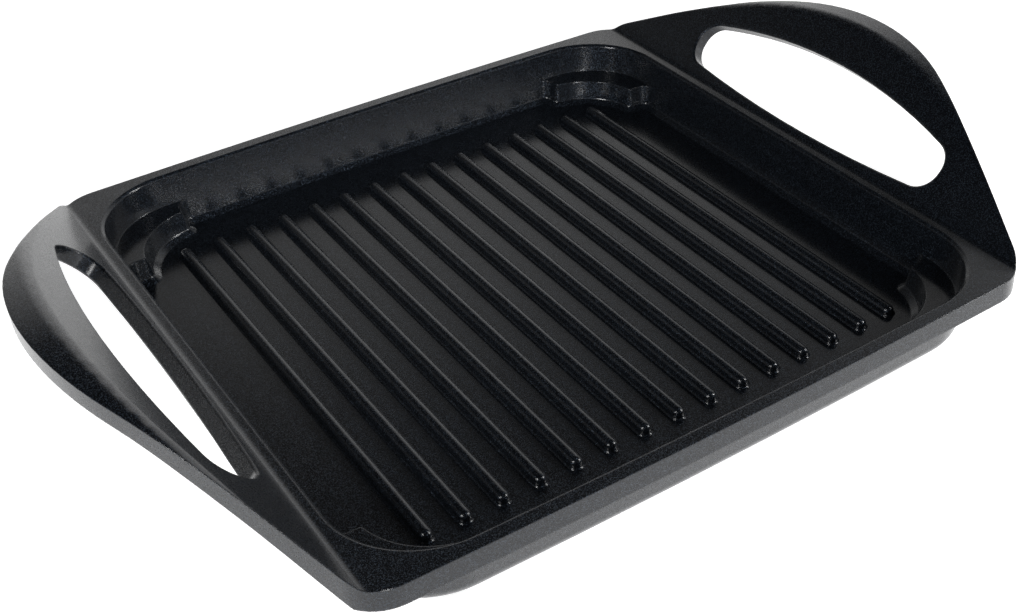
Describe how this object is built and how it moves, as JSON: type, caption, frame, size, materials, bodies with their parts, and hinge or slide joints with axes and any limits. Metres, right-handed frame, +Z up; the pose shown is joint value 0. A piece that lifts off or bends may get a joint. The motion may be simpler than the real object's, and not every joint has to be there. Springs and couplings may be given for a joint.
{
  "type": "grill plate",
  "caption": "Square cast-aluminium grill pan with raised ribs, stepped corner ledges and sloping loop handles.",
  "frame": {"origin": "centre of the flat base, on the surface it stands on", "axes": "+X towards one handle, +Y along the ribs, +Z up"},
  "size_m": [0.3956, 0.2928, 0.0698],
  "materials": {
    "pan_casting": "black speckled non-stick coating, satin",
    "induction_base_plate": "brushed"
  },
  "bodies": {
    "root": {"pan_casting": "pan_casting", "induction_base_plate": "induction_base_plate"}
  },
  "joints": []
}
